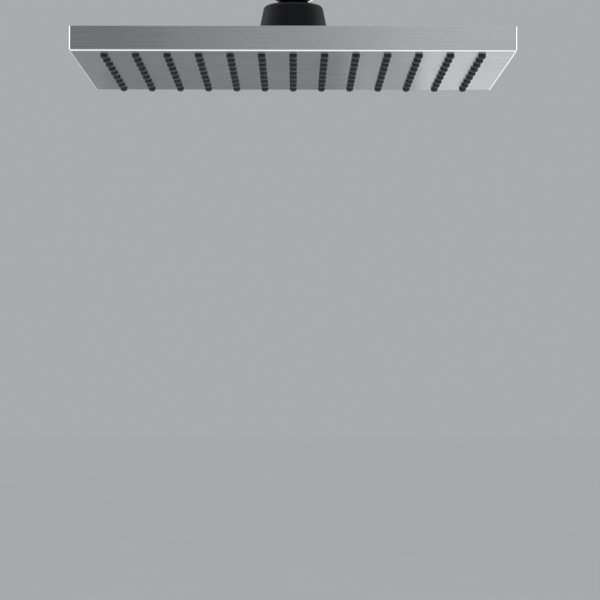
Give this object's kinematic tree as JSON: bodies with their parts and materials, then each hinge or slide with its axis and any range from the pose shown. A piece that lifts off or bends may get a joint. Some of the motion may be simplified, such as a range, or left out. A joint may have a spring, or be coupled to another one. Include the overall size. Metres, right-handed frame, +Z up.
{
  "type": "rain shower head",
  "caption": "Rectangular overhead rain shower head with a grid of rubber nozzles, hung from a threaded nut on a ball swivel.",
  "frame": {"origin": "centre of the mouth of the nut's inlet thread, on the nut's top face", "axes": "+Z up, out of the inlet thread; +X along the head's long side; +Y to the back, so the head's front long side faces -Y"},
  "size_m": [0.3, 0.2, 0.0703],
  "materials": {
    "brushed_steel": "fine brushed along the long side",
    "black_silicone": "matt moulded",
    "black_rubber": "matt",
    "black_plastic": "satin",
    "black_plating": "black gloss plating on brass",
    "chamber_plastic": "moulded",
    "brass": "machined",
    "seat_plastic": "smooth",
    "screw_steel": "bright",
    "regulator_plastic": "moulded"
  },
  "bodies": {
    "inlet": {"ball_nut": "black_plating", "inlet_washer": "black_rubber", "filter_screen": "screw_steel", "flow_regulator": "regulator_plastic", "regulator_ring": "black_rubber"},
    "lower_seat": {"lower_seat": "seat_plastic"},
    "upper_seat": {"upper_seat": "seat_plastic"},
    "head": {"swivel_collar": "black_plastic", "collar_washer": "black_rubber", "ball_socket": "brass", "ball_seal": "black_rubber", "socket_face_seal": "black_rubber", "socket_screw_1": "screw_steel", "socket_screw_2": "screw_steel", "socket_screw_3": "screw_steel", "socket_screw_4": "screw_steel", "top_cover": "brushed_steel", "lower_shell": "brushed_steel", "nozzle_mat": "black_silicone", "chamber_lid": "chamber_plastic", "chamber_gasket": "black_rubber", "deflector": "seat_plastic", "lid_screw_1": "screw_steel", "lid_screw_2": "screw_steel", "lid_screw_3": "screw_steel", "lid_screw_4": "screw_steel", "lid_screw_5": "screw_steel", "lid_screw_6": "screw_steel", "lid_screw_7": "screw_steel", "lid_screw_8": "screw_steel", "lid_screw_9": "screw_steel", "lid_screw_10": "screw_steel", "lid_screw_11": "screw_steel", "lid_screw_12": "screw_steel"}
  },
  "joints": [
    {"name": "tilt_front_back", "type": "hinge", "parent": "inlet", "child": "lower_seat", "pos_m": [0, 0, -0.0286], "axis": [1, 0, 0], "range_deg": [-9, 9]},
    {"name": "tilt_side", "type": "hinge", "parent": "lower_seat", "child": "upper_seat", "pos_m": [0, 0, -0.0286], "axis": [0, 1, 0], "range_deg": [-9, 9]},
    {"name": "swivel", "type": "hinge", "parent": "upper_seat", "child": "head", "pos_m": [0, 0, -0.0286], "axis": [0, 0, 1], "continuous": true}
  ]
}
